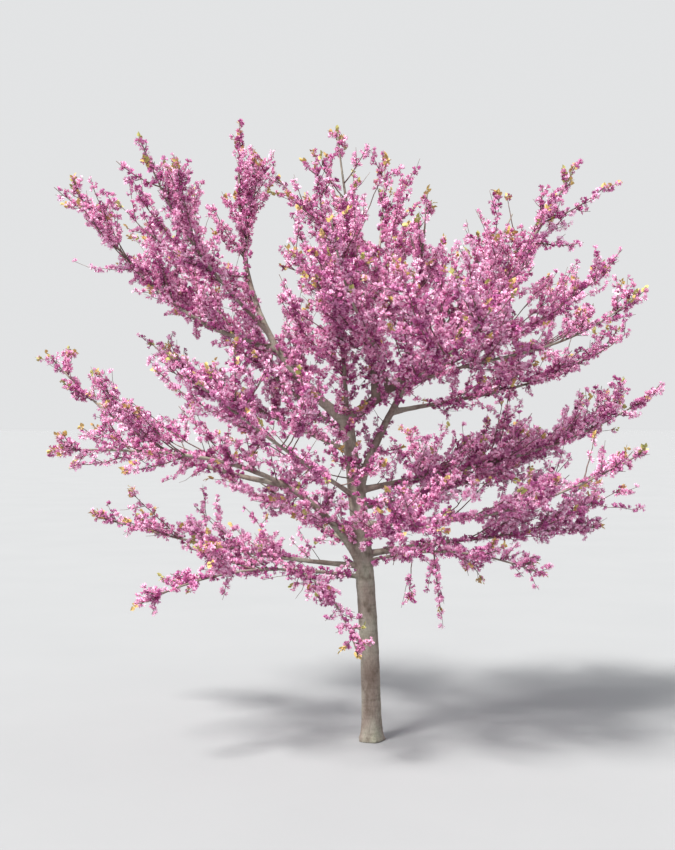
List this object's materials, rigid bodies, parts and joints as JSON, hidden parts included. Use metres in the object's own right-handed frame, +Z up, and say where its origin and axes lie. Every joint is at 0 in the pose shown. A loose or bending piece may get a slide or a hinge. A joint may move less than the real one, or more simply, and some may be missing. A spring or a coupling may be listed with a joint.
{
  "type": "redbud tree",
  "caption": "Young flowering redbud: a short leaning trunk forks into rising leaders and level boughs, sleeved in pink blossom with golden young leaves at the twig tips.",
  "frame": {"origin": "middle of the flat cut under the trunk, at ground level", "axes": "+Z up, +X to the viewer's right and +Y away from the viewer of the picture"},
  "size_m": [3.742, 3.0214, 3.644],
  "materials": {
    "bark": "smooth grey-brown young bark",
    "blossom": "matt pink petals"
  },
  "bodies": {
    "root": {"trunk": "bark", "left_leader_bough": "bark", "left_leader_blossom": "blossom", "right_crown_bough": "bark", "right_crown_blossom": "blossom", "right_leader_bough": "bark", "right_leader_blossom": "blossom", "centre_bough": "bark", "centre_blossom": "blossom", "far_left_crown_bough": "bark", "far_left_crown_blossom": "blossom", "mid_left_crown_bough": "bark", "mid_left_crown_blossom": "blossom", "front_crown_bough": "bark", "front_crown_blossom": "blossom", "back_centre_bough": "bark", "back_centre_blossom": "blossom", "front_centre_bough": "bark", "front_centre_blossom": "blossom", "right_high_bough": "bark", "right_high_blossom": "blossom", "back_right_high_bough": "bark", "back_right_high_blossom": "blossom", "back_right_crown_bough": "bark", "back_right_crown_blossom": "blossom", "right_mid_bough": "bark", "right_mid_blossom": "blossom", "right_low_bough": "bark", "right_low_blossom": "blossom", "right_skirt_bough": "bark", "right_skirt_blossom": "blossom", "right_droop_bough": "bark", "right_droop_blossom": "blossom", "left_droop_bough": "bark", "left_droop_blossom": "blossom", "left_skirt_bough": "bark", "left_skirt_blossom": "blossom", "left_low_bough": "bark", "left_low_blossom": "blossom", "left_mid_bough": "bark", "left_mid_blossom": "blossom", "left_high_bough": "bark", "left_high_blossom": "blossom", "front_droop_bough": "bark", "front_droop_blossom": "blossom", "front_left_bough": "bark", "front_left_blossom": "blossom", "front_right_bough": "bark", "front_right_blossom": "blossom", "front_high_bough": "bark", "front_high_blossom": "blossom", "front_low_bough": "bark", "front_low_blossom": "blossom", "back_right_bough": "bark", "back_right_blossom": "blossom", "back_left_crown_bough": "bark", "back_left_crown_blossom": "blossom", "back_mid_bough": "bark", "back_mid_blossom": "blossom"}
  },
  "joints": []
}
